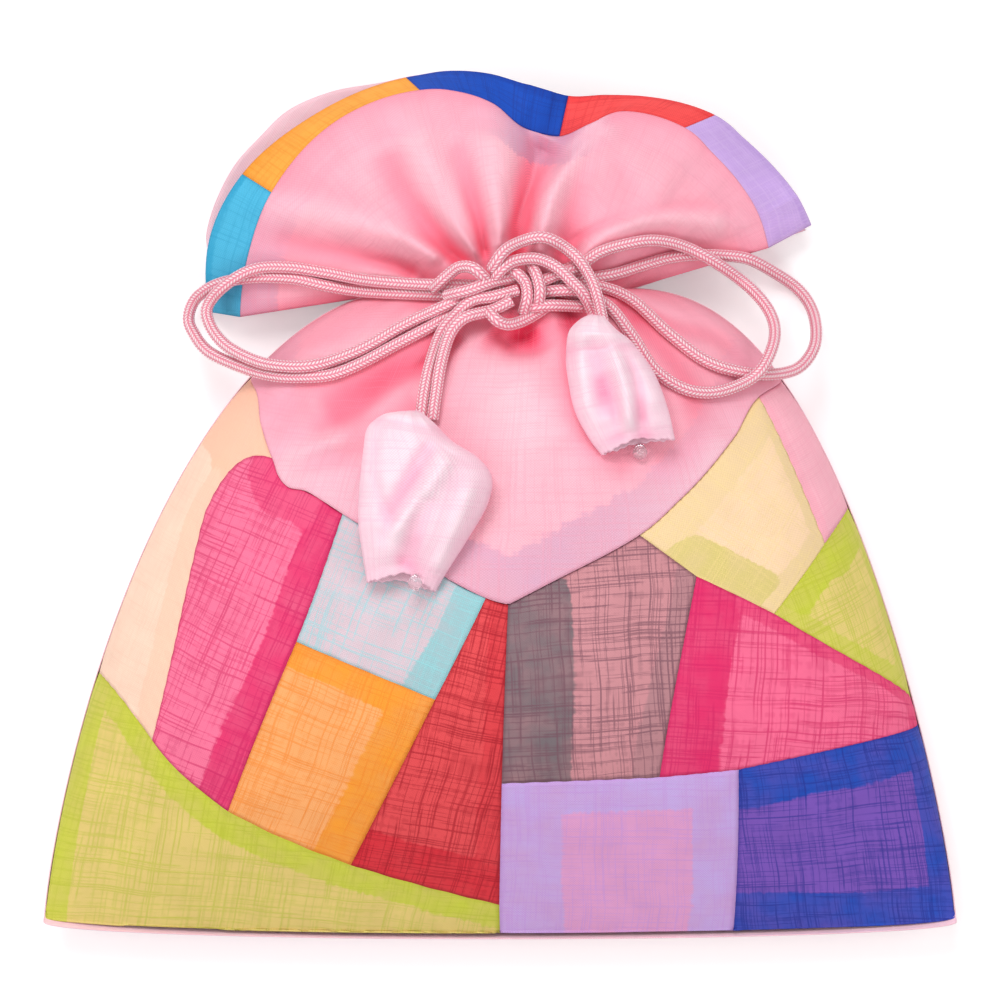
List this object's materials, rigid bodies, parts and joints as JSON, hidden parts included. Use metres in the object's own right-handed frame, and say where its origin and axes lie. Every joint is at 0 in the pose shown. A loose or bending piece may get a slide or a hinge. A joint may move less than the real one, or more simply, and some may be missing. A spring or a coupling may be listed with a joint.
{
  "type": "drawstring pouch",
  "caption": "Patchwork drawstring pouch of sheer slub cloth, drawn shut at a gathered neck with a cord tied in a bow and tulip buds on the cord ends.",
  "frame": {"origin": "middle of the underside, where the back cloth lies on the table", "axes": "+Z out of the front, up from the table; +Y from the base seam towards the ruffle; +X to the right seen from the front"},
  "size_m": [0.1902, 0.1814, 0.0524],
  "materials": {
    "peach": "sheer slub cloth",
    "magenta_left": "sheer slub cloth",
    "ice_blue": "sheer slub cloth",
    "orange": "sheer slub cloth",
    "red": "sheer slub cloth",
    "green": "sheer slub cloth",
    "grey": "sheer slub cloth",
    "lavender": "sheer slub cloth",
    "blue": "sheer slub cloth",
    "magenta_right": "sheer slub cloth",
    "lime": "sheer slub cloth",
    "yellow": "sheer slub cloth",
    "pink_right": "sheer slub cloth",
    "hem_cyan": "sheer slub cloth",
    "hem_orange": "sheer slub cloth",
    "hem_blue": "sheer slub cloth",
    "hem_red": "sheer slub cloth",
    "hem_lavender": "sheer slub cloth",
    "pink_cloth": "sheer slub cloth",
    "pale_pink_cloth": "sheer slub cloth",
    "cord": "braided satin cord",
    "bead": "clear"
  },
  "bodies": {
    "root": {"patch_peach": "peach", "patch_magenta_left": "magenta_left", "patch_ice_blue": "ice_blue", "patch_orange": "orange", "patch_red": "red", "patch_green": "green", "patch_grey": "grey", "patch_lavender": "lavender", "patch_blue": "blue", "patch_magenta_right": "magenta_right", "patch_lime": "lime", "patch_yellow": "yellow", "patch_pink_right": "pink_right", "hem_cyan": "hem_cyan", "hem_orange": "hem_orange", "hem_blue": "hem_blue", "hem_red": "hem_red", "hem_lavender": "hem_lavender", "yoke_and_ruffle": "pink_cloth", "back_panel": "pale_pink_cloth", "lining_front": "pale_pink_cloth", "lining_back": "pale_pink_cloth", "cord_neck_left": "cord", "cord_left_outer": "cord", "cord_left_inner": "cord", "cord_right_outer": "cord", "cord_right_inner": "cord", "cord_tail_left_1": "cord", "cord_tail_left_2": "cord", "cord_tail_right_1": "cord", "cord_tail_right_2": "cord", "bow_knot": "cord", "bud_left": "pale_pink_cloth", "bud_right": "pale_pink_cloth", "bead_left": "bead", "bead_right": "bead"}
  },
  "joints": []
}
